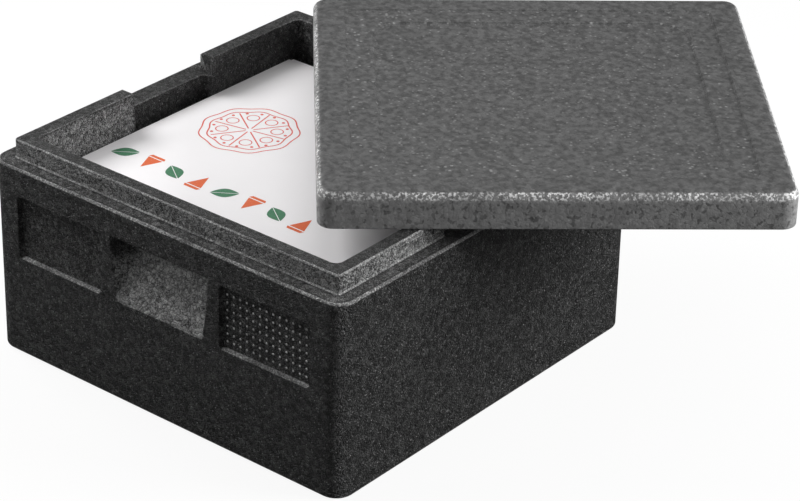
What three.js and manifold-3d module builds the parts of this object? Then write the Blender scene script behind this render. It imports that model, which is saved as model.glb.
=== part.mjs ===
// Insulated pizza carrier: a square box moulded from bead foam, its loose lid lying turned
// on the rim, and the stack of closed pizza cartons that it keeps warm.
// Millimetres, +Z up. The origin is the centre of the box's base, the labelled face is at -Y.
import * as THREE from "three";
import { mergeVertices } from "three/addons/utils/BufferGeometryUtils.js";
import Module from "manifold-3d";

const wasm = await Module();
wasm.setup();

// Fits
const seatGap = 0.3; // between a piece and what it rests on
const overrun = 20; // how far a cutter runs past the surface that it opens

// Cartons
const cartonCount = 4;
const cartonSide = 330;
const cartonHeight = 35.5;
const boardThickness = 1.6;
const tuckDepth = 16; // of the cover's flaps inside the tray
const tuckGap = 0.5; // between a flap and the tray's wall
const tuckEndSetback = 9; // of each flap from the corner of the tray
const cartonShift = 9.5; // the stack stands this far from the centre, towards -X

// Box body
const cartonPlay = 20; // cavity side less carton side
const wallThickness = 30;
const floorThickness = 26;
const shoulderRoom = 20.8; // from the top carton to the shoulder
const boxCornerRadius = 18;
const boxEdgeRadius = 2.5;
const boxFootEdgeRadius = 3.5;
const cavityCornerRadius = 12;
const cavityFloorRadius = 1;

// Tongue that the lid closes over
const shoulderWidth = 15.5;
const tongueHeight = 18;
const tongueCornerRadius = 4;
const tongueEdgeRadius = 1.5;
const tongueGap = 105; // opening in the middle of the two tongue sides at -X and +X

// Ridges that the lid snaps past, two on each side of the tongue
const ridgeLength = 25;
const ridgeHeight = 4;
const ridgeDepth = 1.2; // proud of the tongue
const ridgeDrop = 2; // from the rim to a ridge
const ridgePlace = 92; // from the middle of the side to a ridge's middle
const ridgeEndSlope = 2;

// Finger recesses in the cavity's walls below those openings
const fingerLength = 100;
const fingerDepth = 8;
const fingerCornerRadius = 6;

// Fields in the two faces at -Y and +Y
const fieldDrop = 27.7; // from the shoulder to the fields' upper edge
const labelWidth = 102.5;
const labelHeight = 62.5;
const labelDepth = 4;
const labelCornerRadius = 3;
const labelSlope = 2; // how far the label field's sides lean in
const labelGap = 12; // between the hand hold and a label field

// Hand hold between the label fields
const holdWidth = 116;
const holdFootWidth = 101;
const holdHeight = 62;
const holdDepth = 22;
const holdGripHeight = 18; // of the upright part at the back of the hand hold
const holdSideLean = 13;
const holdCornerRadius = 14;

// Lid
const lidSetback = 2; // inside the box on each side when it is closed
const lidThickness = 35;
const lidCornerRadius = 14;
const lidTopEdgeRadius = 8;
const lidFootEdgeRadius = 1.2;
const grooveClearance = 0.75; // beside the tongue
const grooveHeadroom = 0.5; // above the tongue
const outerPanInset = 29;
const outerPanDepth = 1.5;
const outerPanCornerRadius = 12;
const innerPanInset = 55;
const innerPanDepth = 1.5;
const innerPanCornerRadius = 34;
const lidShiftX = 141.2;
const lidShiftY = 145.6;
const lidTurn = THREE.MathUtils.degToRad(41.45);

// Facets
const cornerSegments = 8; // along a quarter of a plan corner
const edgeSegments = 4; // across a rounded edge

// Sizes that follow
const cavitySide = cartonSide + cartonPlay;
const boxSide = cavitySide + 2 * wallThickness;
const cartonPitch = cartonHeight + seatGap;
const stackBase = floorThickness + seatGap;
const stackTop = stackBase + cartonCount * cartonPitch - seatGap;
const shoulderHeight = stackTop + shoulderRoom;
const rimHeight = shoulderHeight + tongueHeight;
const tongueSide = boxSide - 2 * shoulderWidth;
const lidSide = boxSide - 2 * lidSetback;
const fieldTop = shoulderHeight - fieldDrop;
const faceY = -boxSide / 2;

const foamDark = new THREE.MeshStandardMaterial({ color: 0x2a2a29, roughness: 0.9, metalness: 0 });
const foamGrey = new THREE.MeshStandardMaterial({ color: 0x515151, roughness: 0.9, metalness: 0 });
const board = new THREE.MeshStandardMaterial({ color: 0xf1eeee, roughness: 0.8, metalness: 0 });

// Turns a closed geometry into a solid that can be cut and joined.
function solidOf(geometry) {
  const bare = geometry.index ? geometry.toNonIndexed() : geometry.clone();
  bare.deleteAttribute("normal");
  bare.deleteAttribute("uv");
  const merged = mergeVertices(bare, 1e-4);
  return new wasm.Manifold(
    new wasm.Mesh({
      numProp: 3,
      vertProperties: merged.attributes.position.array,
      triVerts: new Uint32Array(merged.index.array),
    }),
  );
}

function geometryOf(solid) {
  const mesh = solid.getMesh();
  const geometry = new THREE.BufferGeometry();
  geometry.setAttribute("position", new THREE.BufferAttribute(mesh.vertProperties, mesh.numProp));
  geometry.setIndex(new THREE.BufferAttribute(mesh.triVerts, 1));
  geometry.computeVertexNormals();
  return geometry;
}

function meshOf(name, solid, material) {
  const mesh = new THREE.Mesh(geometryOf(solid), material);
  mesh.name = name;
  return mesh;
}

// Adds a rounded rectangle about (x, y) to a path, anticlockwise.
function traceRectangle(path, width, depth, radius, x = 0, y = 0) {
  const right = x + width / 2;
  const left = x - width / 2;
  const far = y + depth / 2;
  const near = y - depth / 2;
  const quarter = Math.PI / 2;
  path.moveTo(left + radius, near);
  path.lineTo(right - radius, near);
  path.absarc(right - radius, near + radius, radius, -quarter, 0, false);
  path.lineTo(right, far - radius);
  path.absarc(right - radius, far - radius, radius, 0, quarter, false);
  path.lineTo(left + radius, far);
  path.absarc(left + radius, far - radius, radius, quarter, 2 * quarter, false);
  path.lineTo(left, near + radius);
  path.absarc(left + radius, near + radius, radius, 2 * quarter, 3 * quarter, false);
  return path;
}

function rectangle(width, depth, radius, x = 0, y = 0) {
  return traceRectangle(new THREE.Shape(), width, depth, radius, x, y);
}

function polygon(points) {
  return new THREE.Shape(points.map(([x, y]) => new THREE.Vector2(x, y)));
}

// A straight block of a shape from one height to another.
function block(shape, low, high) {
  const geometry = new THREE.ExtrudeGeometry(shape, {
    depth: high - low,
    bevelEnabled: false,
    curveSegments: cornerSegments,
  });
  return solidOf(geometry.translate(0, 0, low));
}

// A block whose upper and lower edges are rounded inwards.
function roundedBlock(shape, low, high, edgeRadius) {
  const geometry = new THREE.ExtrudeGeometry(shape, {
    depth: high - low - 2 * edgeRadius,
    bevelThickness: edgeRadius,
    bevelSize: edgeRadius,
    bevelOffset: -edgeRadius,
    bevelSegments: edgeSegments,
    curveSegments: cornerSegments,
  });
  return solidOf(geometry.translate(0, 0, low + edgeRadius));
}

// A block of a rounded square with one radius along its foot and another along its top.
function slab(side, cornerRadius, height, footRadius, topRadius) {
  const outline = () => rectangle(side, side, cornerRadius);
  const roundTopped = roundedBlock(outline(), -overrun, height, topRadius);
  const roundFooted = roundedBlock(outline(), 0, height + overrun, footRadius);
  return roundTopped.intersect(roundFooted);
}

// The same piece on the opposite side of the box.
function opposite(solid) {
  return solid.rotate([0, 0, 180]);
}

// A shape drawn in X and Z, cut into the face at -Y to a depth, its sides leaning in by a slope.
function facePocket(shape, depth, slope) {
  const geometry = new THREE.ExtrudeGeometry(shape, {
    depth: overrun,
    bevelThickness: depth,
    bevelSize: slope,
    bevelOffset: -slope,
    bevelSegments: 1,
    curveSegments: cornerSegments,
  });
  const upright = new THREE.Matrix4().makeBasis(
    new THREE.Vector3(1, 0, 0),
    new THREE.Vector3(0, 0, 1),
    new THREE.Vector3(0, -1, 0),
  );
  return solidOf(geometry.applyMatrix4(upright).translate(0, faceY, 0));
}

function labelPocket(side) {
  const centreX = side * (holdWidth / 2 + labelGap + labelWidth / 2);
  const centreZ = fieldTop - labelHeight / 2;
  const outline = rectangle(labelWidth, labelHeight, labelCornerRadius, centreX, centreZ);
  return facePocket(outline, labelDepth, labelSlope);
}

// The hand hold slopes in and up from its lower edge to a grip under its roof. It is what
// three prisms share: the front outline, the side profile and the plan with its leaning sides.
function holdPocket() {
  const foot = fieldTop - holdHeight;
  const footHalf = holdFootWidth / 2;
  const topHalf = holdWidth / 2;
  const front = new THREE.Shape();
  front.moveTo(-footHalf + holdCornerRadius, foot);
  front.lineTo(footHalf - holdCornerRadius, foot);
  front.quadraticCurveTo(footHalf, foot, footHalf, foot + holdCornerRadius);
  front.lineTo(topHalf, fieldTop);
  front.lineTo(-topHalf, fieldTop);
  front.lineTo(-footHalf, foot + holdCornerRadius);
  front.quadraticCurveTo(-footHalf, foot, -footHalf + holdCornerRadius, foot);

  const profile = polygon([
    [faceY - overrun, foot],
    [faceY, foot],
    [faceY + holdDepth, fieldTop - holdGripHeight],
    [faceY + holdDepth, fieldTop],
    [faceY - overrun, fieldTop],
  ]);
  const sideways = new THREE.Matrix4().makeBasis(
    new THREE.Vector3(0, 1, 0),
    new THREE.Vector3(0, 0, 1),
    new THREE.Vector3(1, 0, 0),
  );
  const profileSolid = solidOf(
    new THREE.ExtrudeGeometry(profile, { depth: holdWidth, bevelEnabled: false })
      .applyMatrix4(sideways)
      .translate(-topHalf, 0, 0),
  );

  const plan = polygon([
    [-topHalf, faceY - overrun],
    [topHalf, faceY - overrun],
    [topHalf, faceY],
    [topHalf - holdSideLean, faceY + holdDepth],
    [-topHalf + holdSideLean, faceY + holdDepth],
    [-topHalf, faceY],
  ]);
  return facePocket(front, holdDepth, 0)
    .intersect(profileSolid)
    .intersect(block(plan, foot, fieldTop));
}

// The opening in the tongue and the finger recess below it, at the wall at -X.
function fingerCut() {
  const outerX = -boxSide / 2 - overrun;
  const wallX = -cavitySide / 2;
  const gapWidth = wallX + overrun - outerX;
  const gap = new THREE.BoxGeometry(gapWidth, tongueGap, tongueHeight + overrun);
  gap.translate(outerX + gapWidth / 2, 0, shoulderHeight + (tongueHeight + overrun) / 2);
  const recess = rectangle(2 * fingerDepth, fingerLength, fingerCornerRadius, wallX, 0);
  return solidOf(gap).add(
    block(recess, floorThickness + cavityFloorRadius, rimHeight + overrun),
  );
}

// A ridge on the outer face of the tongue at -Y: a bar that slopes off on all sides.
function ridge(place) {
  const low = rimHeight - ridgeDrop - ridgeHeight;
  const middle = low + ridgeHeight / 2;
  const crest = ridgeLength / 2 - ridgeEndSlope;
  const face = -tongueSide / 2;
  const inside = face + tongueEdgeRadius;
  const corners = [];
  for (const side of [-1, 1]) {
    const end = place + (side * ridgeLength) / 2;
    corners.push([end, inside, low], [end, face, low]);
    corners.push([end, inside, low + ridgeHeight], [end, face, low + ridgeHeight]);
    corners.push([place + side * crest, face - ridgeDepth, middle]);
  }
  return wasm.Manifold.hull(corners);
}

function boxBody() {
  const shell = slab(boxSide, boxCornerRadius, shoulderHeight, boxFootEdgeRadius, boxEdgeRadius);
  const cavityOutline = rectangle(cavitySide, cavitySide, cavityCornerRadius);
  const cavity = roundedBlock(
    cavityOutline,
    floorThickness,
    rimHeight + overrun + cavityFloorRadius,
    cavityFloorRadius,
  );
  const tongueOutline = rectangle(tongueSide, tongueSide, tongueCornerRadius);
  tongueOutline.holes.push(
    traceRectangle(new THREE.Path(), cavitySide, cavitySide, cavityCornerRadius),
  );
  const tongue = roundedBlock(
    tongueOutline,
    shoulderHeight - overrun,
    rimHeight,
    tongueEdgeRadius,
  );
  let body = shell.subtract(cavity).add(tongue);
  for (const turn of [0, 90, 180, 270]) {
    body = body.add(ridge(-ridgePlace).rotate([0, 0, turn]));
    body = body.add(ridge(ridgePlace).rotate([0, 0, turn]));
  }
  for (const pocket of [labelPocket(-1), labelPocket(1), holdPocket(), fingerCut()]) {
    body = body.subtract(pocket).subtract(opposite(pocket));
  }
  return body;
}

// A square recess in the lid's top.
function panCut(inset, depth, cornerRadius) {
  const side = lidSide - 2 * inset;
  return block(rectangle(side, side, cornerRadius), lidThickness - depth, lidThickness + overrun);
}

// The lid is a slab with a groove in its underside for the tongue.
function lidSolid() {
  const plain = slab(lidSide, lidCornerRadius, lidThickness, lidFootEdgeRadius, lidTopEdgeRadius);
  const grooveSide = tongueSide + 2 * grooveClearance;
  const coreSide = cavitySide - 2 * grooveClearance;
  const groove = rectangle(grooveSide, grooveSide, tongueCornerRadius);
  groove.holes.push(traceRectangle(new THREE.Path(), coreSide, coreSide, cavityCornerRadius));
  return plain
    .subtract(block(groove, -overrun, tongueHeight + grooveHeadroom))
    .subtract(panCut(outerPanInset, outerPanDepth, outerPanCornerRadius))
    .subtract(panCut(innerPanInset, outerPanDepth + innerPanDepth, innerPanCornerRadius));
}

function boxOf(width, depth, height, x, y, low) {
  const geometry = new THREE.BoxGeometry(width, depth, height);
  return solidOf(geometry.translate(x, y, low + height / 2));
}

// The lower half of a carton, open at the top.
function traySolid() {
  const height = cartonHeight - boardThickness - seatGap;
  const inside = cartonSide - 2 * boardThickness;
  return boxOf(cartonSide, cartonSide, height, 0, 0, 0).subtract(
    boxOf(inside, inside, height + overrun, 0, 0, boardThickness),
  );
}

// The upper half: a panel with a flap that tucks into the tray at the front and on both sides.
function coverSolid() {
  const panelLow = cartonHeight - boardThickness;
  const flapPlace = cartonSide / 2 - boardThickness - tuckGap - boardThickness / 2;
  const flapLength = cartonSide - 2 * (boardThickness + tuckEndSetback);
  const flapHeight = tuckDepth + boardThickness / 2;
  const flapLow = panelLow - tuckDepth;
  return boxOf(cartonSide, cartonSide, boardThickness, 0, 0, panelLow)
    .add(boxOf(flapLength, boardThickness, flapHeight, 0, -flapPlace, flapLow))
    .add(boxOf(boardThickness, flapLength, flapHeight, -flapPlace, 0, flapLow))
    .add(boxOf(boardThickness, flapLength, flapHeight, flapPlace, 0, flapLow));
}

const carrier = new THREE.Group();
carrier.add(meshOf("box_body", boxBody(), foamDark));

const lid = meshOf("lid", lidSolid(), foamGrey);
lid.position.set(lidShiftX, lidShiftY, rimHeight + seatGap);
lid.rotation.z = lidTurn;
carrier.add(lid);

const stack = new THREE.Group();
stack.position.set(-cartonShift, 0, stackBase);
for (let i = 0; i < cartonCount; i++) {
  const carton = new THREE.Group();
  carton.position.z = i * cartonPitch;
  carton.add(meshOf(`carton_${i + 1}_tray`, traySolid(), board));
  carton.add(meshOf(`carton_${i + 1}_cover`, coverSolid(), board));
  stack.add(carton);
}
carrier.add(stack);

export default carrier;
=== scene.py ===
import math

import bmesh
import bpy
import numpy as np
from mathutils import Matrix, Vector


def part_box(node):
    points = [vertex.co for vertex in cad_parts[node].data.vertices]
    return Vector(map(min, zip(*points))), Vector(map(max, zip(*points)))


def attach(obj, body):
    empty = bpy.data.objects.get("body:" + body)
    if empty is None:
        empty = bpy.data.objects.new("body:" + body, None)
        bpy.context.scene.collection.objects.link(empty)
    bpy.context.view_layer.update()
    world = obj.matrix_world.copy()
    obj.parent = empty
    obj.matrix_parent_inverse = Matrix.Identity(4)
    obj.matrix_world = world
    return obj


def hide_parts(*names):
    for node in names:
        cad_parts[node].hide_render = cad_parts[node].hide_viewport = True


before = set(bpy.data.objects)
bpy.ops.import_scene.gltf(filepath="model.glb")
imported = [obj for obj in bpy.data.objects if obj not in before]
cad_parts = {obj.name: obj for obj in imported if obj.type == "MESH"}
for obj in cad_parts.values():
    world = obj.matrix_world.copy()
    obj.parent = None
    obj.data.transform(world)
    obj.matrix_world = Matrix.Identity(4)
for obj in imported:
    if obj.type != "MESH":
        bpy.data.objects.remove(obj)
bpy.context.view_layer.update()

# Sizes from the frame
box_low, box_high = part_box("box_body")
lid_low, lid_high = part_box("lid")
stack_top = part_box("carton_4_cover")[1][2]
box_half = box_high[0]
rim_height = box_high[2]

# Box body
box_corner = 0.018
box_edge = 0.0025
box_foot_edge = 0.0035
floor_height = 0.026
tongue_height = 0.018
shoulder_height = rim_height - tongue_height
tongue_inset = 0.0155
tongue_corner = 0.004
tongue_edge = 0.0015
tongue_foot = 0.0015
tongue_paleness = 0.98
shoulder_paleness = 0.40
# Painted light on the front part of the cavity's walls
front_wall_painted_light = 0.8
foot_wear = 0.4
inner_wear = 0.3
wall_thickness = 0.030
cavity_corner = 0.007
cavity_foot = 0.001

# Openings in the tongue at -X and +X, and the finger recesses below them
gap_half = 0.0525
recess_half = 0.050
recess_depth = 0.008
recess_corner = 0.006
recess_lip = 0.002
recess_foot = 0.0006
sliver = 0.00005

# Fields and hand holds in the faces at -Y and +Y
field_top = shoulder_height - 0.0277
label_centre = 0.12125
label_width = 0.1025
label_height = 0.0625
label_low = field_top - label_height
label_depth = 0.004
label_corner = 0.004
label_slope = 0.002
label_foot_slope = 0.0024
label_paleness = 0.10
# Where the painted highlight on a field's lower slope starts and ends, in shares of that slope
label_highlight_low = 0.1
label_highlight_high = 0.85
hold_half = 0.058
hold_foot_half = 0.0505
hold_height = 0.062
hold_foot = field_top - hold_height
hold_depth = 0.022
hold_grip = 0.016
hold_side_lean = 0.59
hold_corner = 0.016
hold_blend = 0.004
hold_lip = 0.0025
hold_roof = 0.0009
# Painted light on the hand hold's slope and sides, and the height at the top of its sides kept dark
# as painted shade
hold_painted_light = 1.42
hold_side_painted_light = 1.1
hold_painted_shade_height = 0.012

# Dots in one label field
dot_columns = 13
dot_rows = 7
dot_pitch_across = 0.0074
dot_pitch_up = 0.0076
dot_radius = 0.00135
dot_height = 0.0011

# Ridges on the tongue that the lid snaps past
ridge_length = 0.025
ridge_height = 0.004
ridge_depth = 0.0012
ridge_drop = 0.002
ridge_place = 0.092
ridge_end_slope = 0.002
ridge_root = 0.0008
ridge_fullness = 0.6
# Where rubbing with a painted highlight begins up a ridge, and how fast it grows
ridge_rub_and_highlight_start = -0.3
ridge_rub_and_highlight_spread = 0.25

# Lid
lid_turn = math.radians(41.45)
lid_half = 0.203
lid_thickness = 0.035
lid_corner = 0.014
lid_top_edge = 0.008
lid_foot_edge = 0.0012
groove_outer_half = 0.19025
groove_inner_half = 0.17425
groove_depth = 0.0185
groove_edge = 0.001
pan_step = 0.0015
outer_pan_half = 0.174
outer_pan_corner = 0.012
inner_pan_half = 0.148
inner_pan_corner = 0.034
pan_slope = 0.0006
# Rubbing with a painted highlight along the lid's top edge: where it peaks down the edge, and how
# far it spreads
lid_rub_and_highlight_place = 0.70
lid_rub_and_highlight_spread = 0.25

# Cartons
carton_count = 4
board = 0.0016
board_fold = 0.0006
seam = 0.0003
tuck_depth = 0.016
tuck_gap = 0.0005
tuck_setback = 0.009
panel_corner = 0.003

# Print on the top carton: a pizza wheel drawn in line, and a band of leaves and slices
print_lift = 0.00006
line_width = 0.0013
thin_line_width = 0.8 * line_width
wheel_centre = (-0.098, 0.020)
wheel_radius = 0.046
wheel_turn = 0.2
crust_share = 0.84
crust_lobes = 9
crust_wobble = 0.0012
crust_phase = 3
slice_count = 8
hub_share = 0.08
cut_share = crust_share - 0.04
topping_share = 0.56
topping_radius = 0.0058
seed_share = 0.76
seed_turn = 0.2
seed_radius = 0.0016
band_start = (-0.152, -0.088)
band_pitch = 0.0305
band_count = 8
leaf_length = 0.026
leaf_width = 0.015
leaf_rib = 0.0007
leaf_rib_end = 0.46
leaf_turn = math.radians(35)
slice_length = 0.025
slice_width = 0.019
slice_top_share = 0.8
slice_base_share = 0.9
crust_width = 0.0036

# Mesh density: steps along straight sides, segments of rounded ones, and rings of each stretch
wall_step = 0.004
lid_step = 0.005
corner_segments = 12
edge_segments = 6
small_edge_segments = 3
sharp_angle = math.radians(42)
base_shares = np.array([0.02, 0.3, 0.6, 0.85, 0.97])
lid_shares = np.array([0.02, 0.15, 0.3, 0.45, 0.6, 0.75, 0.88, 0.96])
lip_shares = np.array([0.1, 0.25, 0.5, 0.75, 1])
step_across_shares = np.array([-1.5, -1, -0.5, 0.5, 1, 1.5])
step_up_shares = np.array([0, 0.05, 0.2, 0.8, 0.95, 1])
roof_rings = 11
shoulder_rings = 4
tongue_rings = 4
rim_rings = 3
cavity_rings = 27
cavity_ring_bias = 1.3
pan_rings = 5
lid_rings = 6
underside_rings = 2
groove_rings = 3
slope_marks = 9
hold_marks = 26
hold_marks_reach = 0.02
wall_middle_mark = 0.03
recess_marks = 7
recess_lip_marks = 5
recess_lip_start = 0.01
dot_segments = 10
dot_levels = 4
ridge_columns = 33
ridge_rows = 9
fold_segments = 2
panel_corner_segments = 4
crust_segments = 96
topping_segments = 24
seed_segments = 12
leaf_segments = 16


def ticks(stops, step):
    """Positions through every stop and at most a step apart."""
    marks = [stops[0]]
    for low, high in zip(stops, stops[1:]):
        count = max(1, round((high - low) / step))
        marks.extend(low + (high - low) * k / count for k in range(1, count + 1))
    return np.array(marks)


def mirrored(stops):
    """The stops with their opposites, in order."""
    return sorted({round(s, 7) for s in stops} | {round(-s, 7) for s in stops})


def between(low, high, count):
    """Values spaced evenly between two, without the two themselves."""
    return np.linspace(low, high, count + 2)[1:-1]


def smooth_step(x):
    """0 below 0, 1 above 1, and an even curve between."""
    x = np.clip(x, 0, 1)
    return x * x * (3 - 2 * x)


def smooth_min(a, b, radius):
    """The smaller of two, blended over a radius."""
    share = np.clip(0.5 + 0.5 * (b - a) / radius, 0, 1)
    return b + (a - b) * share - radius * share * (1 - share)


def arc_offsets(radius, segments):
    """(across, along) of a quarter round from its first tangent to its last."""
    angles = np.linspace(0, math.pi / 2, segments + 1)
    return radius * (1 - np.cos(angles)), radius * np.sin(angles)


def polar(centre, radius, angle):
    """The point at a distance from a centre, in a direction."""
    return centre[0] + radius * math.cos(angle), centre[1] + radius * math.sin(angle)


def circle(centre, radius, count):
    return [polar(centre, radius, 2 * math.pi * k / count) for k in range(count)]


def add_object(name, data):
    made = bpy.data.objects.new(name, data)
    bpy.context.collection.objects.link(made)
    return made


def add_piece(name, mesh):
    """Puts a mesh in the scene, shaded smooth up to its sharp edges."""
    mesh.shade_smooth()
    mesh.set_sharp_from_angle(angle=sharp_angle)
    return add_object(name, mesh)


def make_object(name, vertices, faces):
    mesh = bpy.data.meshes.new(name)
    mesh.from_pydata(vertices, [], faces)
    mesh.validate()
    return add_piece(name, mesh)


def mark(piece, name, weights):
    """Writes a weight at each vertex under a name that the materials read."""
    attribute = piece.data.attributes.new(name, "FLOAT", "POINT")
    attribute.data.foreach_set("value", np.asarray(weights, dtype=float))


def make_loft(name, rings, centres, wear_and_highlight, pale, way=1):
    """A closed piece of quads between rings of points, with a fan about a centre at each end. A way
    of -1 turns its faces over."""
    around = len(rings[0])
    last = (len(rings) - 1) * around
    centre = last + around
    faces = []
    for low in range(0, last, around):
        high = low + around
        for j in range(around):
            k = (j + 1) % around
            faces.append((low + j, low + k, high + k, high + j))
    for j in range(around):
        k = (j + 1) % around
        faces.append((centre, k, j))
        faces.append((centre + 1, last + j, last + k))
    piece = make_object(name, np.concatenate([*rings, centres]), [face[::way] for face in faces])
    mark(piece, "edge", np.append(wear_and_highlight, [0, 0]))
    mark(piece, "pale", np.append(pale, [0, 0]))
    return piece


class SquareLoft:
    """Rings of rounded squares, each side with its own marks along it."""

    def __init__(self, marks_by_side, keep, reach):
        self.keep = keep
        self.reach = reach
        turns = [math.pi / 2 * k / corner_segments for k in range(1, corner_segments)]
        places = []
        for side, marks in enumerate(marks_by_side):
            places += [(side, along, 0) for along in marks]
            places += [(side, np.nan, turn) for turn in turns]
        self.side, self.along, self.angle = np.array(places).T
        self.round = np.isnan(self.along)
        self.count = len(self.side)

    def fitted(self, straight):
        """Marks moved to a ring's own straight length: the middle ones keep their places."""
        size = np.abs(self.along)
        share = (straight - self.keep) / (self.reach - self.keep)
        outer = self.keep + (size - self.keep) * share
        wide = np.where(size > self.keep, outer, size)
        narrow = size * straight / self.reach
        return np.sign(self.along) * np.where(straight > self.keep, wide, narrow)

    def ring(self, half, corner, sunk=0):
        """x and y of one ring. Side 0 is at -Y, 1 at +X, 2 at +Y, 3 at -X. The depth sunk moves
        points inwards."""
        straight = half - corner
        along = np.where(self.round, straight + corner * np.sin(self.angle), self.fitted(straight))
        out = np.where(self.round, straight + corner * np.cos(self.angle), half) - sunk
        turn = self.side * math.pi / 2
        x = along * np.cos(turn) + out * np.sin(turn)
        y = along * np.sin(turn) - out * np.cos(turn)
        return x, y


# The fields and the hand hold in a face at -Y or +Y, as a depth at x along it and height z

def label_relief(x, z):
    across = label_width / 2 - np.abs(np.abs(x) - label_centre)
    above = (z - label_low) * label_slope / label_foot_slope
    upright = np.minimum(above, field_top - z)
    corner = label_corner - np.hypot(label_corner - across, label_corner - upright)
    near_corner = (across < label_corner) & (upright < label_corner)
    inside = np.where(near_corner, corner, np.minimum(across, upright))
    return label_depth * smooth_step(inside / label_slope)


def hold_outline(z):
    """A height's rise above a hand hold's foot, and the slope's depth and half width there."""
    rise = z - hold_foot
    slope = rise * hold_depth / (hold_height - hold_grip)
    half = hold_foot_half + (hold_half - hold_foot_half) * np.clip(rise / hold_height, 0, 1)
    return rise, slope, half


def hold_relief(x, z):
    rise, slope, half = hold_outline(z)
    side = half - np.abs(x)
    corner = hold_corner - np.hypot(hold_corner - side, hold_corner - rise)
    near_corner = (side < hold_corner) & (rise < hold_corner)
    inside = np.where(near_corner, corner, side)
    floor = smooth_min(slope, np.full_like(slope, hold_depth), hold_blend)
    bowl = smooth_min(floor, inside / hold_side_lean, hold_blend)
    bowl = -smooth_min(-bowl, np.zeros_like(bowl), hold_lip)
    below_roof = field_top - z
    under = bowl * smooth_step(below_roof / hold_roof)
    rounding = hold_lip - np.clip(-below_roof, 0, hold_lip)
    lip = hold_lip - np.sqrt(hold_lip**2 - rounding**2)
    inside = np.maximum(under, np.minimum(bowl, hold_lip))
    return np.where(below_roof > 0, inside, np.minimum(bowl, lip))


def label_foot_highlight(x, z):
    """Painted highlight on a label field: full on its lower slope and none beyond it."""
    across = label_width / 2 - np.abs(np.abs(x) - label_centre)
    above = (z - label_low) / label_foot_slope
    on_slope = (above > label_highlight_low) & (above < label_highlight_high)
    return np.where((across > label_corner / 2) & on_slope, 1.0, 0.0)


def hold_painted_light_weight(x, z):
    """Painted light in a hand hold: most on its slope, less on its sides, none at the top of its
    sides, which stay dark as painted shade, and none beyond it.
    """
    rise, slope, half = hold_outline(z)
    beside = (half - np.abs(x)) / hold_side_lean - np.minimum(slope, hold_depth)
    inside = (rise > 0) & (z < field_top - hold_roof) & (half > np.abs(x))
    on_slope = smooth_step(beside / hold_blend + 0.5)
    side = hold_side_painted_light * smooth_step((field_top - hold_painted_shade_height - z) / hold_painted_shade_height)
    return np.where(inside, side + (hold_painted_light - side) * on_slope, 0)


def recess_relief(y):
    """How far the cavity's wall steps back beside the finger gap, at a distance from the middle."""
    size = np.abs(y)
    flat_half = recess_half - recess_corner
    round_back = recess_depth - recess_corner
    round_back = round_back + np.sqrt(np.clip(recess_corner**2 - (size - flat_half) ** 2, 0, None))
    lip_out = recess_half + recess_lip - size
    lip = recess_lip - np.sqrt(np.clip(recess_lip**2 - lip_out**2, 0, None))
    depth = np.where(size < flat_half, recess_depth, round_back)
    depth = np.where(size > recess_half, lip, depth)
    return np.where(size > recess_half + recess_lip, 0, depth)


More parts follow.
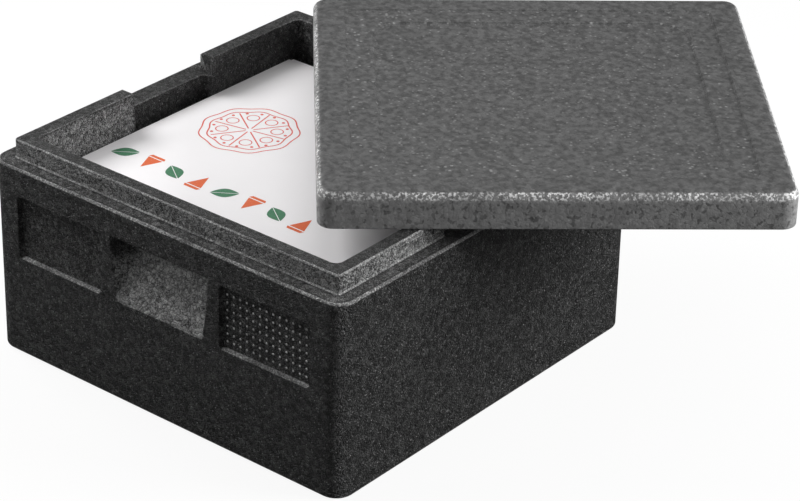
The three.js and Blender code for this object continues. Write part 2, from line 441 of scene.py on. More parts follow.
def body_profile(recess):
    """Inset, height, corner radius, rubbing with painted highlight, paleness and part of each ring,
    from the base's centre over the rim to the cavity's floor. The paleness is painted light in the
    hand holds and on the cavity's front walls. A recess of None gives the raised tongue, and a
    number the gap in it with the wall behind it that far back."""
    rows = []

    def add(insets, heights, corners, part, wear_and_highlight=0.0, pale=0.0):
        columns = np.broadcast_arrays(insets, heights, corners, wear_and_highlight, pale)
        rows.extend(zip(*columns, [part] * len(columns[0])))

    # Rubbing and painted highlight over a rounded edge, none at both ends and full in its middle
    edge = np.sin(np.linspace(0, math.pi, edge_segments + 1))

    flat_half = box_half - box_foot_edge
    flat_corner = box_corner - box_foot_edge
    add(box_half - flat_half * base_shares, 0.0, flat_corner * base_shares, "base")
    across, along = arc_offsets(box_foot_edge, edge_segments)
    add(box_foot_edge - along, across, flat_corner + along, "base", foot_wear * edge)

    lines = ticks([
        box_foot_edge, 4 * box_edge, hold_foot - 2 * hold_lip, hold_foot,
        label_low, label_low + label_foot_slope / 2,
        label_low + label_foot_slope, label_low + 2 * label_foot_slope,
        field_top - 3 * label_slope, field_top - label_slope,
    ], wall_step)
    roof = field_top - label_slope + label_slope * np.linspace(0, 1, roof_rings + 1)[1:]
    above = field_top + lip_shares * hold_lip
    upper_stops = [above[-1], shoulder_height - 2 * box_edge, shoulder_height - box_edge]
    upper = ticks(upper_stops, wall_step)[1:]
    walls = np.concatenate([fine_lines(lines), roof, above, upper])
    add(0.0, walls[1:-1], box_corner, "wall")
    across, along = arc_offsets(box_edge, edge_segments)
    add(across, shoulder_height - box_edge + along, box_corner - across, "shoulder", edge)

    if recess is None:
        foot_start = tongue_inset - tongue_foot
        flats = between(box_edge, foot_start, shoulder_rings)
        corners = between(box_corner - box_edge, tongue_corner + tongue_foot, shoulder_rings)
        add(flats, shoulder_height, corners, "shoulder", pale=shoulder_paleness)
        # The concave round at the tongue's foot carries a painted highlight
        across, along = arc_offsets(tongue_foot, edge_segments)
        corners = tongue_corner + tongue_foot - along
        paleness = tongue_paleness * along / tongue_foot
        add(foot_start + along, shoulder_height + across, corners, "tongue", edge, paleness)
        wall = shoulder_height + between(tongue_foot, tongue_height - tongue_edge, tongue_rings)
        add(tongue_inset, wall, tongue_corner, "tongue", pale=tongue_paleness)
        across, along = arc_offsets(tongue_edge, edge_segments)
        heights = rim_height - tongue_edge + along
        paleness = tongue_paleness * (1 - across / tongue_edge)
        add(tongue_inset + across, heights, tongue_corner - across, "tongue", edge, paleness)
        inner_start = wall_thickness - tongue_edge
        flats = between(tongue_inset + tongue_edge, inner_start, rim_rings)
        corners = between(tongue_corner - tongue_edge, cavity_corner + tongue_edge, rim_rings)
        add(flats, rim_height, corners, "tongue")
        corners = cavity_corner + tongue_edge - along
        add(inner_start + along, rim_height - across, corners, "tongue", inner_wear * edge)
        top = rim_height - tongue_edge
        inner = wall_thickness
    else:
        inner = wall_thickness - recess
        count = shoulder_rings + tongue_rings + rim_rings + 2 * (edge_segments + 1)
        flats = np.linspace(box_edge, inner - tongue_edge, count + 1)[1:]
        corners = np.linspace(box_corner - box_edge, cavity_corner + tongue_edge, count + 1)[1:]
        add(flats, shoulder_height, corners, "gap")
        across, along = arc_offsets(tongue_edge, edge_segments)
        flats = inner - tongue_edge + along
        add(flats, shoulder_height - across, cavity_corner, "gap", inner_wear * edge)
        top = shoulder_height - tongue_edge
    drop = np.linspace(0, 1, cavity_rings + 1)[1:] ** cavity_ring_bias
    bottom = floor_height + cavity_foot + recess_foot
    add(inner, top + (bottom - top) * drop, cavity_corner, "cavity")
    across, along = arc_offsets(cavity_foot, small_edge_segments)
    heights = floor_height + cavity_foot - along
    add(wall_thickness + across, heights, cavity_corner - across, "cavity")
    cavity_half = box_half - wall_thickness - cavity_foot
    shares = base_shares[::-1]
    corners = (cavity_corner - cavity_foot) * shares
    add(box_half - cavity_half * shares, floor_height, corners, "cavity")
    return [np.array(column) for column in zip(*rows)]


def fine_lines(lines):
    """The wall's lines with extra ones at the lower edges of the hand hold and the fields."""
    extra = np.concatenate([
        hold_foot + hold_lip * np.linspace(-1, 1, slope_marks),
        label_low + label_foot_slope * np.linspace(0, 1, slope_marks),
    ])
    marks = np.unique(np.round(np.concatenate([lines, extra]), decimals=6))
    apart = np.concatenate([[True], np.diff(marks) > 4 * sliver])
    return marks[apart]


def body_marks():
    """Marks along the faces with fields, and along the faces with finger gaps."""
    reach = box_half - box_corner
    label_left = label_centre - label_width / 2
    label_right = label_centre + label_width / 2
    hold_end = hold_half + hold_lip
    field_stops = [0, wall_middle_mark, hold_end, reach]
    slope_share = np.linspace(0, 1, slope_marks)
    field_stops += list(label_left + label_slope * slope_share)
    field_stops += list(label_right - label_slope * slope_share)
    field_stops += list(np.linspace(hold_foot_half - hold_marks_reach, hold_end, hold_marks))
    quarter = math.pi / 2
    gap_stops = [0, recess_half - recess_corner, recess_half + recess_lip, gap_half - tongue_edge]
    turns = np.linspace(0, quarter, recess_marks)
    gap_stops += list(recess_half - recess_corner * (1 - np.sin(turns)))
    turns = np.linspace(recess_lip_start, quarter, recess_lip_marks)
    gap_stops += list(recess_half + recess_lip * (1 - np.cos(turns)))
    gap_stops += [gap_half - sliver, gap_half, gap_half + tongue_edge, reach]
    turns = np.linspace(0, quarter, edge_segments)
    gap_stops += list(gap_half + tongue_edge * (1 - np.cos(turns)))
    fields = ticks(mirrored(field_stops), wall_step)
    gaps = ticks(mirrored(gap_stops), wall_step)
    return fields, gaps


def make_box_body():
    fields, gaps = body_marks()
    keep = gap_half + 2 * tongue_edge
    loft = SquareLoft([fields, gaps, fields, gaps], keep, box_half - box_corner)
    insets, heights, corners, wear_and_highlight, pale, part = body_profile(None)
    columns = (insets, heights, wear_and_highlight, pale)
    inset, height, edge, paleness = (np.repeat(c[:, None], loft.count, axis=1) for c in columns)
    face_side = (loft.side % 2 == 0) & ~loft.round
    gap_side = (loft.side % 2 == 1) & ~loft.round
    for j in np.nonzero(gap_side & (np.abs(np.nan_to_num(loft.along)) < gap_half - sliver / 2))[0]:
        recess = float(recess_relief(loft.along[j]))
        inset[:, j], height[:, j], _, edge[:, j], paleness[:, j], _ = body_profile(recess)
    past = np.where(gap_side, np.abs(loft.along) - gap_half, tongue_edge)
    ending = gap_side & (past >= -sliver / 2) & (past < tongue_edge)
    rounding = tongue_edge - np.clip(past, 0, tongue_edge)
    limit = rim_height - tongue_edge + np.sqrt(tongue_edge**2 - rounding**2)
    height[:, ending] = np.minimum(height[:, ending], limit[ending])
    points = []
    for i in range(len(insets)):
        sunk = inset[i] - insets[i]
        if part[i] == "wall":
            x = loft.along
            depth = np.maximum(label_relief(x, height[i]), hold_relief(x, height[i]))
            sunk = sunk + np.where(face_side, depth, 0)
            # A painted highlight on the fields' lower slopes
            edge[i] += np.where(face_side, label_foot_highlight(x, height[i]), 0)
            # Painted light in the hand holds, and a lighter tone on the fields' floors
            field = label_paleness * label_relief(x, height[i]) / label_depth
            paleness[i] += np.where(face_side, hold_painted_light_weight(x, height[i]) + field, 0)
        x, y = loft.ring(box_half - insets[i], corners[i], sunk)
        if part[i] == "cavity":
            # Painted light on the cavity's walls towards the front
            paleness[i] += front_wall_painted_light * smooth_step((-y - recess_half) / recess_depth)
        points.append(np.stack([x, y, height[i]], axis=1))
    return make_loft("box_foam", points, [[0, 0, 0], [0, 0, floor_height]], edge, paleness)


def lid_profile():
    """Half side, height, corner radius, rubbing and painted highlight, and paleness of each ring,
    from the top's centre to the underside's. The paleness is painted light: it grows down the top
    edge and is full on the sides."""
    rows = []

    def add(halves, heights, corners, wear_and_highlight=0.0, pale=0.0):
        rows.extend(zip(*np.broadcast_arrays(halves, heights, corners, wear_and_highlight, pale)))

    def step(half, corner, low):
        """A soft step up from one level to the next, seen from the middle outwards."""
        across = pan_slope * step_across_shares
        add(half + across, low + pan_step * step_up_shares, corner + across)

    inner_floor = lid_thickness - 2 * pan_step
    add(inner_pan_half * lid_shares, inner_floor, inner_pan_corner * lid_shares)
    step(inner_pan_half, inner_pan_corner, inner_floor)
    flats = between(inner_pan_half, outer_pan_half, pan_rings)
    corners = between(inner_pan_corner, outer_pan_corner, pan_rings)
    add(flats, lid_thickness - pan_step, corners)
    step(outer_pan_half, outer_pan_corner, lid_thickness - pan_step)
    flat_end = lid_half - lid_top_edge
    flats = between(outer_pan_half, flat_end, lid_rings)
    corners = between(outer_pan_corner, lid_corner - lid_top_edge, lid_rings)
    add(flats, lid_thickness, corners)

    across, along = arc_offsets(lid_top_edge, 2 * edge_segments)
    corners = lid_corner - lid_top_edge + along
    down_share = np.linspace(0, 1, 2 * edge_segments + 1)
    # Rubbing with a painted highlight down the top edge, and paleness growing down it as painted
    # light
    wear_and_highlight = np.exp(-(((down_share - lid_rub_and_highlight_place) / lid_rub_and_highlight_spread) ** 2))
    add(flat_end + along, lid_thickness - across, corners, wear_and_highlight, down_share**2)
    sides = between(lid_thickness - lid_top_edge, lid_foot_edge, lid_rings)
    # The sides and the foot edge are paler all over: painted light
    add(lid_half, sides, lid_corner, pale=1.0)
    across, along = arc_offsets(lid_foot_edge, edge_segments)
    add(lid_half - across, lid_foot_edge - along, lid_corner - across, pale=1.0)
    under = between(lid_half - lid_foot_edge, groove_outer_half + groove_edge, underside_rings)
    add(under, 0.0, lid_corner - lid_foot_edge)

    across, along = arc_offsets(groove_edge, small_edge_segments)
    walls = between(groove_edge, groove_depth - groove_edge, groove_rings)
    add(groove_outer_half + groove_edge - along, across, tongue_corner + groove_edge - along)
    add(groove_outer_half, walls, tongue_corner)
    add(groove_outer_half - across, groove_depth - groove_edge + along, tongue_corner - across)
    corners = cavity_corner + groove_edge - along
    add(groove_inner_half + groove_edge - along, groove_depth - across, corners)
    add(groove_inner_half, walls[::-1], cavity_corner)
    add(groove_inner_half - across, groove_edge - along, cavity_corner - across)
    core = groove_inner_half - groove_edge
    shares = lid_shares[::-1]
    add(core * shares, 0.0, (cavity_corner - groove_edge) * shares)
    return [np.array(column) for column in zip(*rows)]


def make_lid():
    reach = lid_half - lid_corner
    marks = ticks([-reach, reach], lid_step)
    loft = SquareLoft([marks] * 4, 0, reach)
    halves, heights, corners, wear_and_highlight, pale = lid_profile()
    points = []
    for half, height, corner in zip(halves, heights, corners):
        x, y = loft.ring(half, corner)
        points.append(np.stack([x, y, np.full_like(x, height)], axis=1))
    wear_and_highlight, pale = (np.repeat(weights, loft.count) for weights in (wear_and_highlight, pale))
    piece = make_loft("lid_foam", points, [[0, 0, heights[0]], [0, 0, 0]], wear_and_highlight, pale, way=-1)
    middle = Vector([(lid_low[0] + lid_high[0]) / 2, (lid_low[1] + lid_high[1]) / 2, lid_low[2]])
    place = Matrix.Translation(middle) @ Matrix.Rotation(lid_turn, 4, "Z")
    piece.data.transform(place)
    return piece


def make_dots():
    """Raised round dots on the floor of one label field, with a painted highlight on all but their
    feet.
    """
    vertices = []
    faces = []
    floor_y = -box_half + label_depth
    middle = field_top - label_height / 2
    for column in range(dot_columns):
        for row in range(dot_rows):
            x = label_centre + (column - (dot_columns - 1) / 2) * dot_pitch_across
            z = middle + (row - (dot_rows - 1) / 2) * dot_pitch_up
            first = len(vertices)
            vertices.append((x, floor_y - dot_height, z))
            for level in range(1, dot_levels + 1):
                lean = math.pi / 2 * level / dot_levels
                root = dot_height / 2 if level == dot_levels else 0
                y = floor_y - dot_height * math.cos(lean) + root
                ring = circle((x, z), dot_radius * math.sin(lean), dot_segments)
                vertices.extend((ring_x, y, ring_z) for ring_x, ring_z in ring)
            for k in range(dot_segments):
                n = (k + 1) % dot_segments
                faces.append((first, first + 1 + k, first + 1 + n))
                for level in range(dot_levels - 1):
                    a = first + 1 + level * dot_segments
                    faces.append((a + k, a + dot_segments + k, a + dot_segments + n, a + n))
            last = first + 1 + (dot_levels - 1) * dot_segments
            faces.append(tuple(last + k for k in reversed(range(dot_segments))))
    piece = make_object("label_dots", vertices, faces)
    per_dot = 1 + dot_levels * dot_segments
    tip_count = 1 + (dot_levels - 2) * dot_segments
    mark(piece, "edge", [float(n % per_dot < tip_count) for n in range(len(vertices))])
    return piece


def make_ridges():
    """Low bars near the top of the tongue's outer face, two on each side, rounded to all edges."""
    across = np.linspace(-1, 1, ridge_columns)
    up = np.linspace(-1, 1, ridge_rows)
    vertices = []
    faces = []
    face_y = -(box_half - tongue_inset)
    middle = rim_height - ridge_drop - ridge_height / 2
    for side in range(4):
        turn = Matrix.Rotation(side * math.pi / 2, 3, "Z")
        for place in (-ridge_place, ridge_place):
            first = len(vertices)
            for v in up:
                for u in across:
                    to_end = (1 - abs(u)) * ridge_length / 2 / ridge_end_slope
                    swell = (1 - v * v) * smooth_step(to_end)
                    out = (ridge_depth + ridge_root) * float(swell) ** ridge_fullness
                    y = face_y + ridge_root - out
                    x = place + u * ridge_length / 2
                    vertices.append(turn @ Vector((x, y, middle + v * ridge_height / 2)))
            for i in range(ridge_rows - 1):
                for j in range(ridge_columns - 1):
                    a = first + i * ridge_columns + j
                    b = a + ridge_columns
                    faces.append((a, a + 1, b + 1, b))
    piece = make_object("rim_ridges", vertices, faces)
    # Rubbing with a painted highlight over the ridges' upper part
    wear_and_highlight = np.repeat(smooth_step((up - ridge_rub_and_highlight_start) / ridge_rub_and_highlight_spread), ridge_columns)
    mark(piece, "edge", np.tile(wear_and_highlight, len(vertices) // len(wear_and_highlight)))
    return piece


def round_edges(solid, edges, radius, segments):
    bmesh.ops.bevel(solid, geom=edges, offset=radius, segments=segments, affect="EDGES")


def make_carton(name, low, high, panel_low):
    """A closed carton: a tray, and a cover panel with three flaps tucked into it."""
    x0, y0, z0 = low
    x1, y1, z1 = high
    wall_top = panel_low - seam
    tuck = board + tuck_gap
    flap_low = panel_low - tuck_depth
    left, right = x0 + board + tuck_setback, x1 - board - tuck_setback
    near, far = y0 + board + tuck_setback, y1 - board - tuck_setback
    boards = [
        ((x0 + board, y0 + board, z0), (x1 - board, y1 - board, z0 + board)),
        ((x0, y0, z0), (x1, y0 + board, wall_top)),
        ((x0, y1 - board, z0), (x1, y1, wall_top)),
        ((x0, y0 + board, z0), (x0 + board, y1 - board, wall_top)),
        ((x1 - board, y0 + board, z0), (x1, y1 - board, wall_top)),
        ((left, y0 + tuck, flap_low), (right, y0 + tuck + board, panel_low)),
        ((x0 + tuck, near, flap_low), (x0 + tuck + board, far, panel_low)),
        ((x1 - tuck - board, near, flap_low), (x1 - tuck, far, panel_low)),
    ]
    solid = bmesh.new()
    for corner_a, corner_b in boards:
        middle = (Vector(corner_a) + Vector(corner_b)) / 2
        size = Vector(corner_b) - Vector(corner_a)
        for vertex in bmesh.ops.create_cube(solid, size=1)["verts"]:
            vertex.co = middle + Vector(a * b for a, b in zip(vertex.co, size))
    round_edges(solid, solid.edges[:], board_fold, fold_segments)
    made = bmesh.ops.create_cube(solid, size=1)["verts"]
    for vertex in made:
        x = x0 if vertex.co.x < 0 else x1
        y = y0 if vertex.co.y < 0 else y1
        z = panel_low if vertex.co.z < 0 else z1
        vertex.co = Vector((x, y, z))
    panel = [e for e in solid.edges if set(e.verts) <= set(made)]
    upright = [e for e in panel if e.verts[0].co.xy == e.verts[1].co.xy]
    round_edges(solid, upright, panel_corner, panel_corner_segments)
    level = [e for e in solid.edges if e.verts[0].co.z == e.verts[1].co.z >= panel_low]
    rims = [e for e in level if e.calc_face_angle(0) > sharp_angle]
    round_edges(solid, rims, board_fold, fold_segments)
    mesh = bpy.data.meshes.new(name)
    solid.to_mesh(mesh)
    solid.free()
    return add_piece(name, mesh)


def stroke(points, width, closed=False):
    """A flat line of a width along points, as four-sided pieces."""
    count = len(points)
    sides = []
    for k, (x, y) in enumerate(points):
        before = points[(k - 1) % count] if closed or k > 0 else points[k]
        after = points[(k + 1) % count] if closed or k < count - 1 else points[k]
        way = Vector((after[0] - before[0], after[1] - before[1])).normalized() * width / 2
        sides.append(((x + way.y, y - way.x), (x - way.y, y + way.x)))
    ends = zip(sides, sides[1:] + sides[:1]) if closed else zip(sides, sides[1:])
    return [[a[0], b[0], b[1], a[1]] for a, b in ends]


def make_print(name, shapes, height):
    vertices = []
    faces = []
    for shape in shapes:
        faces.append(tuple(range(len(vertices), len(vertices) + len(shape))))
        vertices.extend((x, y, height) for x, y in shape)
    return make_object(name, vertices, faces)


def wheel_shapes():
    """A pizza from above, in line: wavy crust, cuts between slices, round toppings and seeds."""
    shapes = []
    for share in (1, crust_share):
        ring = []
        for k in range(crust_segments):
            turn = 2 * math.pi * k / crust_segments
            wave = math.sin(crust_lobes * turn + crust_phase * share)
            ring.append(polar(wheel_centre, share * wheel_radius + crust_wobble * wave, turn))
        shapes += stroke(ring, line_width, closed=True)
    for k in range(slice_count):
        turn = 2 * math.pi * k / slice_count + wheel_turn
        middle = turn + math.pi / slice_count
        cut = [polar(wheel_centre, share * wheel_radius, turn) for share in (hub_share, cut_share)]
        shapes += stroke(cut, line_width)
        place = polar(wheel_centre, topping_share * wheel_radius, middle)
        topping = circle(place, topping_radius, topping_segments)
        shapes += stroke(topping, thin_line_width, closed=True)
        for side in (-1, 1):
            seed = polar(wheel_centre, seed_share * wheel_radius, middle + side * seed_turn)
            shapes.append(circle(seed, seed_radius, seed_segments))
    return shapes


def turned(centre, x, y, turn):
    """A point given from a centre, turned about it."""
    across = x * math.cos(turn) - y * math.sin(turn)
    along = x * math.sin(turn) + y * math.cos(turn)
    return centre[0] + across, centre[1] + along


def leaf_halves(centre, turn):
    """Two halves of a leaf with its rib left open between them."""
    halves = []
    for side in (-1, 1):
        points = []
        for k in range(leaf_segments + 1):
            share = k / leaf_segments
            out = leaf_rib + leaf_width / 2 * math.sin(math.pi * share)
            points.append(((share - 0.5) * leaf_length, side * out))
        rib = side * leaf_rib / 2
        points += [(leaf_rib_end * leaf_length, rib), (-leaf_length / 2, rib)]
        halves.append([turned(centre, x, y, turn) for x, y in points])
    return halves


def slice_shapes(centre, way):
    """A slice that points across the band, to one side or the other, with its crust apart."""
    x, y = centre
    half = slice_width / 2
    base_half = half * slice_base_share
    top_half = half * slice_top_share
    tip = y - way * slice_length / 2
    top = y + way * slice_length / 2
    base = y + way * (slice_length / 2 - crust_width - line_width)
    low = base + way * line_width
    body = [(x, tip), (x + base_half, base), (x - base_half, base)]
    crust = [(x - half, low), (x + half, low), (x + top_half, top), (x - top_half, top)]
    return [body, crust]


def band_shapes():
    """Leaves and slices in turn along the band."""
    leaves = []
    slices = []
    for k in range(band_count):
        centre = (band_start[0] + band_pitch * k, band_start[1])
        way = 1 if k % 4 < 2 else -1
        if k % 2:
            slices += slice_shapes(centre, way)
        else:
            leaves += leaf_halves(centre, way * leaf_turn)
    return leaves, slices


# Materials

half_grey = (0.5, 0.5, 0.5)

# Foam: the cells' bend, and the sizes of blots and pits, in beads
bend_rate = 0.6
bend_reach = 0.9
blot_size = 1.6
pit_size = 1.1

# Foam: how far from its middle a noise is followed, and where pits, patches and specks begin
grain_spread = 0.16
blot_spread = 0.14
cloud_spread = 0.20
pit_span = (0.56, 0.66)
patch_span = (0.48, 0.61)
stretch_span = (0.38, 0.62)
speck_span = (0.25, 0.55)
joint_reach = 0.20
edge_span = (0.05, 0.50)

# Foam: the paleness at which a tone is faintest, and the share that is left of it
grain_fade = (1.5, 0.25)
bead_fade = (1.2, 0.35)
joint_fade = (1.5, 0.6)

# Foam: sizes of clouds and of stretches with more and less rubbing and painted highlight, limits,
# and shares of the relief
cloud_size = 0.018
stretch_size = 0.05
stretch_least = 0.55
least_tone = 0.08
rough_spread = 0.20
edge_polish = 0.10
joint_sink = 0.5
pit_sink = 0.5
tilt_rise = 0.7
grain_rise = 0.35

# Board
board_cloud_size = 0.06
fibre_size = 0.0012
flute_pitch = 0.0045
flute_bend = 0.2
board_cloud_tone = 0.05
fibre_tone = 0.03
flute_tone = 0.012
fibre_rise = 0.4
flute_rise = 0.35
board_relief = 0.0002
board_relief_strength = 0.25
board_roughness = 0.55
board_specular = 0.35

# Ink
ink_gap_size = 0.0015
ink_gap_span = (0.55, 0.75)
ink_gap_depth = 0.25
ink_cover = 0.6
ink_roughness = 0.5


def feed(tree, socket, value):
    """Links a node's output to a socket, or sets the socket's value."""
    if isinstance(value, bpy.types.NodeSocket):
        tree.links.new(value, socket)
    else:
        socket.default_value = value


def add_node(tree, kind, inputs, **settings):
    node = tree.nodes.new(kind)
    for name, value in settings.items():
        setattr(node, name, value)
    for name, value in inputs.items():
        feed(tree, node.inputs[name], value)
    return node


def calc(tree, operation, a, b=0.0, c=0.0):
    return add_node(tree, "ShaderNodeMath", {0: a, 1: b, 2: c}, operation=operation).outputs[0]


def vector_calc(tree, operation, a, b):
    second = "Scale" if operation == "SCALE" else 1
    node = add_node(tree, "ShaderNodeVectorMath", {0: a, second: b}, operation=operation)
    return node.outputs["Value" if operation == "DOT_PRODUCT" else "Vector"]


def remap(tree, value, low, high, to_low=0.0, to_high=1.0):
    names = ("Value", "From Min", "From Max", "To Min", "To Max")
    inputs = dict(zip(names, (value, low, high, to_low, to_high)))
    return add_node(tree, "ShaderNodeMapRange", inputs, interpolation_type="SMOOTHSTEP").outputs[0]


def mix_colours(tree, share, a, b):
    return add_node(tree, "ShaderNodeMix", {0: share, 6: a, 7: b}, data_type="RGBA").outputs[2]


def noise(tree, coords, size, detail=2.0):
    inputs = {"Vector": coords, "Scale": 1 / size, "Detail": detail}
    return add_node(tree, "ShaderNodeTexNoise", inputs).outputs["Fac"]


def uneven(tree, coords, size, spread, detail=1.0):
    """A tone from -1 to 1 that follows a noise as far as the spread on both sides of its middle."""
    value = noise(tree, coords, size, detail)
    return remap(tree, value, 0.5 - spread, 0.5 + spread, -1.0, 1.0)


def fading(tree, pale, reach, least):
    """1 in dark foam, down to the least where the foam is as pale as the reach."""
    return remap(tree, pale, 0.0, reach, 1.0, least)


def add_terms(tree, total, *terms):
    """The total with each value added, times its share."""
    for value, share in terms:
        total = calc(tree, "MULTIPLY_ADD", value, share, total)
    return total


def random_parts(tree, cells):
    return add_node(tree, "ShaderNodeSeparateColor", {"Color": cells.outputs["Color"]}).outputs


def add_bump(tree, surface, height, strength, relief):
    inputs = {"Height": height, "Strength": strength, "Distance": relief}
    bump = add_node(tree, "ShaderNodeBump", inputs)
    feed(tree, surface.inputs["Normal"], bump.outputs[0])


def new_material(name):
    """A material with its nodes, its surface and the coordinates of the piece that it is on."""
    material = bpy.data.materials.new(name)
    material.use_nodes = True
    tree = material.node_tree
    coords = add_node(tree, "ShaderNodeTexCoord", {}).outputs["Object"]
    return material, tree, tree.nodes["Principled BSDF"], coords


def foam_material(name, shade, bead, grain, tones, wear_and_highlight_settings, roughness, relief):
    """Bead foam: fused beads of slightly different tone and tilt, with a grain, pits, and pale
    flecks that are partly painted glints. Its tones are shares of the shade, and the weights "edge"
    and "pale" are read from the mesh: "edge" for rubbing with painted highlights, "pale" for a
    paler tone that in places is painted light."""
    material, tree, surface, coords = new_material(name)
    edge = add_node(tree, "ShaderNodeAttribute", {}, attribute_name="edge").outputs["Fac"]
    pale = add_node(tree, "ShaderNodeAttribute", {}, attribute_name="pale").outputs["Fac"]

    # Beads, as cells with bent walls
    bend = add_node(tree, "ShaderNodeTexNoise", {"Vector": coords, "Scale": bend_rate / bead})
    centred = vector_calc(tree, "SUBTRACT", bend.outputs["Color"], half_grey)
    shift = vector_calc(tree, "SCALE", centred, bend_reach * bead)
    warped = vector_calc(tree, "ADD", coords, shift)
    inputs = {"Vector": warped, "Scale": 1 / bead}
    cells = add_node(tree, "ShaderNodeTexVoronoi", inputs)
    walls = add_node(tree, "ShaderNodeTexVoronoi", inputs, feature="DISTANCE_TO_EDGE")
    random = random_parts(tree, cells)

    # Tones, the finer ones fainter where the foam is pale
    grains = uneven(tree, coords, grain, grain_spread)
    grains = calc(tree, "MULTIPLY", grains, fading(tree, pale, *grain_fade))
    blots = uneven(tree, coords, blot_size * bead, blot_spread)
    cloud = uneven(tree, coords, cloud_size, cloud_spread, detail=3.0)
    joint = remap(tree, walls.outputs["Distance"], 0.0, joint_reach, 1.0, 0.0)
    joint = calc(tree, "MULTIPLY", joint, fading(tree, pale, *joint_fade))
    bead_tone = remap(tree, random["Red"], 0.0, 1.0, -1.0, 1.0)
    pit = remap(tree, noise(tree, coords, pit_size * bead, detail=1.0), *pit_span)
    pit = calc(tree, "MULTIPLY", pit, pale)
    coarse = add_terms(tree, 0.0, (bead_tone, tones["beads"]), (blots, tones["blots"]))
    tone = add_terms(
        tree, 1.0, (coarse, fading(tree, pale, *bead_fade)), (grains, tones["grain"]),
        (cloud, tones["clouds"]), (joint, -tones["joints"]), (pit, -tones["pits"]),
    )
    # Paler where the mesh's pale weight is: painted light on the lid's sides, in the hand holds and
    # on the cavity's front walls, and a lighter tone elsewhere
    tone = calc(tree, "MULTIPLY", tone, add_terms(tree, 1.0, (pale, tones["pale"])))
    colour = vector_calc(tree, "SCALE", shade, calc(tree, "MAXIMUM", tone, least_tone))

    # Rubbing and painted highlights on the edges, in patches, and pale flecks that are partly
    # painted glints
    patches = remap(tree, noise(tree, coords, wear_and_highlight_settings["patch"]), *patch_span, wear_and_highlight_settings["even"], 1.0)
    stretches = remap(tree, noise(tree, coords, stretch_size), *stretch_span, stretch_least, 1.0)
    rub_and_highlight = calc(tree, "MULTIPLY", remap(tree, edge, *edge_span), patches)
    rub_and_highlight = calc(tree, "MULTIPLY", rub_and_highlight, stretches)
    # Pale flecks, partly painted glints where bead facets would catch the light
    inputs = {"Vector": coords, "Scale": 1 / wear_and_highlight_settings["speck_size"]}
    specks_and_glints = add_node(tree, "ShaderNodeTexVoronoi", inputs)
    chosen = remap(tree, random_parts(tree, specks_and_glints)["Blue"], 1 - 2 * wear_and_highlight_settings["speck_share"], 1.0)
    speck_and_glint = remap(tree, specks_and_glints.outputs["Distance"], *speck_span, 1.0, 0.0)
    speck_and_glint = calc(tree, "MULTIPLY", calc(tree, "MULTIPLY", speck_and_glint, chosen), wear_and_highlight_settings["specks_and_glints"])
    light = calc(tree, "MINIMUM", calc(tree, "ADD", rub_and_highlight, speck_and_glint), 1.0)
    feed(tree, surface.inputs["Base Color"], mix_colours(tree, light, colour, wear_and_highlight_settings["shade"]))

    smoothest = roughness - rough_spread / 2
    rough = add_terms(tree, smoothest, (random["Blue"], rough_spread), (edge, -edge_polish))
    feed(tree, surface.inputs["Roughness"], rough)

    # Relief: each bead tilted its own way, with sunk joints and pits
    offset = vector_calc(tree, "SCALE", warped, 1 / bead)
    offset = vector_calc(tree, "SUBTRACT", offset, cells.outputs["Position"])
    tilt_way = vector_calc(tree, "SUBTRACT", cells.outputs["Color"], half_grey)
    tilt = vector_calc(tree, "DOT_PRODUCT", offset, tilt_way)
    height = add_terms(
        tree, 0.0, (joint, -joint_sink), (tilt, tilt_rise), (grains, grain_rise), (pit, -pit_sink)
    )
    add_bump(tree, surface, height, 1.0, relief)
    return material


def board_material(name, shade):
    """White coated board with soft clouds, a fine grain and faint fluting."""
    material, tree, surface, coords = new_material(name)
    cloud = noise(tree, coords, board_cloud_size, detail=3.0)
    fibre = noise(tree, coords, fibre_size)
    inputs = {"Vector": coords, "Scale": 1 / flute_pitch, "Distortion": flute_bend}
    flute = add_node(tree, "ShaderNodeTexWave", inputs, bands_direction="X").outputs["Fac"]
    tone = 1.0
    for value, share in ((cloud, board_cloud_tone), (fibre, fibre_tone), (flute, flute_tone)):
        tone = add_terms(tree, tone, (calc(tree, "SUBTRACT", value, 0.5), share))
    feed(tree, surface.inputs["Base Color"], vector_calc(tree, "SCALE", shade, tone))
    surface.inputs["Roughness"].default_value = board_roughness
    surface.inputs["Specular IOR Level"].default_value = board_specular
    height = add_terms(tree, 0.0, (flute, flute_rise), (fibre, fibre_rise))
    add_bump(tree, surface, height, board_relief_strength, board_relief)
    return material


def ink_material(name, shade):
    """Flat printing ink, a little uneven where the board shows through."""
    material, tree, surface, coords = new_material(name)
    thin = remap(tree, noise(tree, coords, ink_gap_size), *ink_gap_span, 0.0, ink_gap_depth)
    full = (*shade, 1)
    faint = (*(ink_cover * value + 1 - ink_cover for value in shade), 1)
    feed(tree, surface.inputs["Base Color"], mix_colours(tree, thin, full, faint))
    surface.inputs["Roughness"].default_value = ink_roughness
    return material


# Its edge weights paint highlights that are also rubbing, and its pale weights paint light in the
# hand holds and on the cavity's front walls
body_foam = foam_material(
    "foam_charcoal", (0.0570, 0.0573, 0.0568),
    bead=0.0034, grain=0.0009, roughness=0.45, relief=0.0024,
    tones={"beads": 0.60, "grain": 1.10, "blots": 0.40, "clouds": 0.08, "joints": 0.72,
           "pits": 0.04, "pale": 3.9},
    wear_and_highlight_settings={"even": 0.35, "patch": 0.0016, "shade": (0.78, 0.78, 0.78, 1),
          "specks_and_glints": 0.5, "speck_size": 0.0015, "speck_share": 0.05},
)
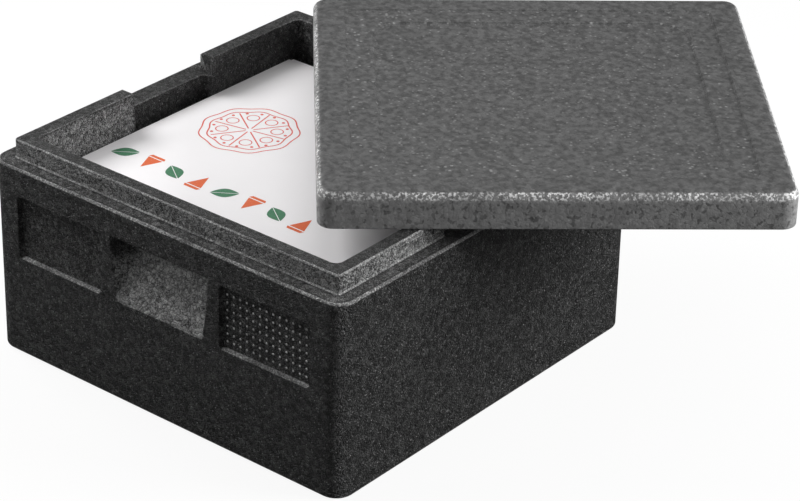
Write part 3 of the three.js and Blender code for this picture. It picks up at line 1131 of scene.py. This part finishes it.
# The lid's pale weight paints light on its sides, and its top edge has rubbing with a painted
# highlight
lid_foam = foam_material(
    "foam_grey", (0.072, 0.072, 0.072),
    bead=0.0042, grain=0.0028, roughness=0.50, relief=0.00018,
    tones={"beads": 0.16, "grain": 0.07, "blots": 0.26, "clouds": 0.05, "joints": 0.03,
           "pits": 0.42, "pale": 2.75},
    wear_and_highlight_settings={"even": 0.12, "patch": 0.0024, "shade": (0.95, 0.95, 0.95, 1),
          "specks_and_glints": 0.16, "speck_size": 0.0034, "speck_share": 0.07},
)
# The dots' tips are painted pale as highlights
dot_foam = foam_material(
    "foam_dots", (0.0455, 0.0455, 0.0435),
    bead=0.0026, grain=0.0010, roughness=0.45, relief=0.0003,
    tones={"beads": 0.2, "grain": 0.4, "blots": 0.12, "clouds": 0.08, "joints": 0.1,
           "pits": 0.0, "pale": 0.0},
    wear_and_highlight_settings={"even": 0.9, "patch": 0.0016, "shade": (0.80, 0.80, 0.80, 1),
          "specks_and_glints": 0.0, "speck_size": 0.0019, "speck_share": 0.09},
)
white_board = board_material("board_white", (0.96, 0.94, 0.95))
red_ink = ink_material("ink_red", (0.72, 0.10, 0.07))
green_ink = ink_material("ink_green", (0.05, 0.20, 0.10))
orange_ink = ink_material("ink_orange", (0.76, 0.14, 0.04))

box_piece = make_box_body()
box_piece.data.materials.append(body_foam)
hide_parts("box_body")
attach(box_piece, "box")

lid_piece = make_lid()
lid_piece.data.materials.append(lid_foam)
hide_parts("lid")
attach(lid_piece, "lid")

ridges = make_ridges()
ridges.data.materials.append(body_foam)
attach(ridges, "box")

dots = make_dots()
dots.data.materials.append(dot_foam)
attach(dots, "box")

for number in range(1, carton_count + 1):
    tray, cover = f"carton_{number}_tray", f"carton_{number}_cover"
    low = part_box(tray)[0]
    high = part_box(cover)[1]
    carton = make_carton(f"carton_{number}", low, high, high[2] - board)
    carton.data.materials.append(white_board)
    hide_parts(tray, cover)
    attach(carton, "carton_stack")

leaves, slices = band_shapes()
for name, shapes, ink in (
    ("print_wheel", wheel_shapes(), red_ink),
    ("print_leaves", leaves, green_ink),
    ("print_slices", slices, orange_ink),
):
    printed = make_print(name, shapes, stack_top + print_lift)
    printed.data.materials.append(ink)
    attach(printed, "carton_stack")


# Floor, lights, world and camera

white = (1, 1, 1, 1)
floor_half = 4.0
floor_shade = (0.97, 0.97, 0.97, 1)
floor_glow = 0.90
bounce_shade = (0.08, 0.08, 0.08, 1)
world_strength = 0.30
light_target = Vector((0.05, 0.05, 0.15))

# Camera: its view is turned from +Y about Z, raised from straight down, and rolled
camera_place = Vector((1.52757, -1.77180, 1.35873))
camera_turn = math.radians(38.8604)
camera_rise = math.radians(61.4823)
camera_roll = math.radians(1.3212)
camera_lens_mm = 131.05
camera_sensor_mm = 36.0


def empty_tree(owner):
    owner.use_nodes = True
    owner.node_tree.nodes.clear()
    return owner.node_tree


def make_floor():
    ways = ((-1, -1), (1, -1), (1, 1), (-1, 1))
    corners = [(x * floor_half, y * floor_half, 0) for x, y in ways]
    floor = make_object("floor", corners, [(0, 1, 2, 3)])
    floor.location.z = box_low[2] - sliver
    material = bpy.data.materials.new("floor")
    tree = empty_tree(material)
    path = add_node(tree, "ShaderNodeLightPath", {})
    seen = add_node(tree, "ShaderNodeBsdfDiffuse", {"Color": floor_shade}).outputs[0]
    glow = add_node(tree, "ShaderNodeEmission", {"Color": white, "Strength": 1.0}).outputs[0]
    bounce = add_node(tree, "ShaderNodeBsdfDiffuse", {"Color": bounce_shade}).outputs[0]
    pale = add_node(tree, "ShaderNodeMixShader", {0: floor_glow, 1: seen, 2: glow}).outputs[0]
    inputs = {0: path.outputs["Is Camera Ray"], 1: bounce, 2: pale}
    mixed = add_node(tree, "ShaderNodeMixShader", inputs)
    add_node(tree, "ShaderNodeOutputMaterial", {"Surface": mixed.outputs[0]})
    floor.data.materials.append(material)


def make_light(name, azimuth, elevation, distance, size, power):
    """A square soft box that faces the object, its place given as angles in degrees."""
    light = bpy.data.lights.new(name, "AREA")
    light.shape = "SQUARE"
    light.size = size
    light.energy = power
    lamp = add_object(name, light)
    out, up = polar((0, 0), distance, math.radians(elevation))
    place = Vector((*polar((0, 0), out, math.radians(azimuth)), up))
    lamp.location = light_target + place
    lamp.rotation_euler = (-place).to_track_quat("-Z", "Y").to_euler()


def make_world():
    world = bpy.data.worlds.new("studio")
    bpy.context.scene.world = world
    tree = empty_tree(world)
    path = add_node(tree, "ShaderNodeLightPath", {})
    strength = remap(tree, path.outputs["Is Camera Ray"], 0.0, 1.0, world_strength, 1.0)
    background = add_node(tree, "ShaderNodeBackground", {"Color": white, "Strength": strength})
    add_node(tree, "ShaderNodeOutputWorld", {"Surface": background.outputs[0]})


def make_camera():
    data = bpy.data.cameras.new("camera")
    data.lens = camera_lens_mm
    data.sensor_width = camera_sensor_mm
    data.sensor_fit = "HORIZONTAL"
    camera = add_object("camera", data)
    place = Matrix.Translation(camera_place)
    for angle, axis in ((camera_turn, "Z"), (camera_rise, "X"), (camera_roll, "Z")):
        place = place @ Matrix.Rotation(angle, 4, axis)
    camera.matrix_world = place
    bpy.context.scene.camera = camera


make_floor()
make_world()
make_camera()
make_light("left", azimuth=198, elevation=45, distance=1.2, size=0.6, power=8.6)
make_light("low_left", azimuth=218, elevation=18, distance=1.3, size=0.6, power=2.3)
make_light("right", azimuth=30, elevation=21, distance=2.0, size=1.0, power=43.0)
make_light("back", azimuth=120, elevation=60, distance=1.4, size=0.8, power=2.8)
bpy.context.scene.view_settings.view_transform = "Standard"
